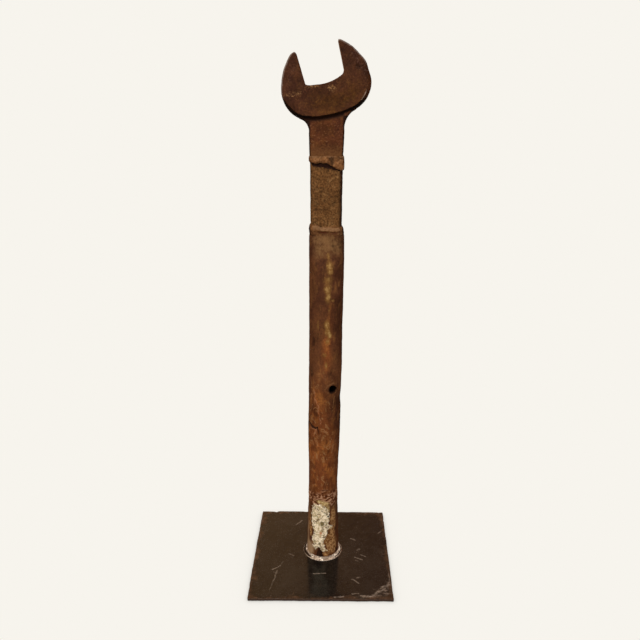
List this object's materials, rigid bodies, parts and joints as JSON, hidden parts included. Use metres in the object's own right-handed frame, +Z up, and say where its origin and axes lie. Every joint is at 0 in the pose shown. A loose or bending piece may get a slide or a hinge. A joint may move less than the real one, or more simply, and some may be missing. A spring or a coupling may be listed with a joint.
{
  "type": "open-end wrench",
  "caption": "Old open-end wrench with a tilted forged jaw, a flat bar shank and a pipe handle, welded upright on a square steel plate.",
  "frame": {"origin": "centre of the plate's underside", "axes": "+Z up along the wrench; the wrench's front faces -Y; +X is to the right as seen from the front"},
  "size_m": [0.1524, 0.1524, 0.5427],
  "materials": {
    "plate_steel": "dark brown patina, semi-gloss",
    "bright_weld": "dull grey weld metal",
    "pipe_rust": "brown rust with ochre streaks and the rest of white paint",
    "old_weld": "worn brown weld metal",
    "bar_rust": "pitted olive-brown rust",
    "forged_rust": "smooth dark red-brown patina"
  },
  "bodies": {
    "root": {"base_plate": "plate_steel", "foot_weld": "bright_weld", "handle_tube": "pipe_rust", "mouth_weld": "old_weld", "shank_bar": "bar_rust", "shank_weld": "old_weld", "jaw_head": "forged_rust"}
  },
  "joints": []
}
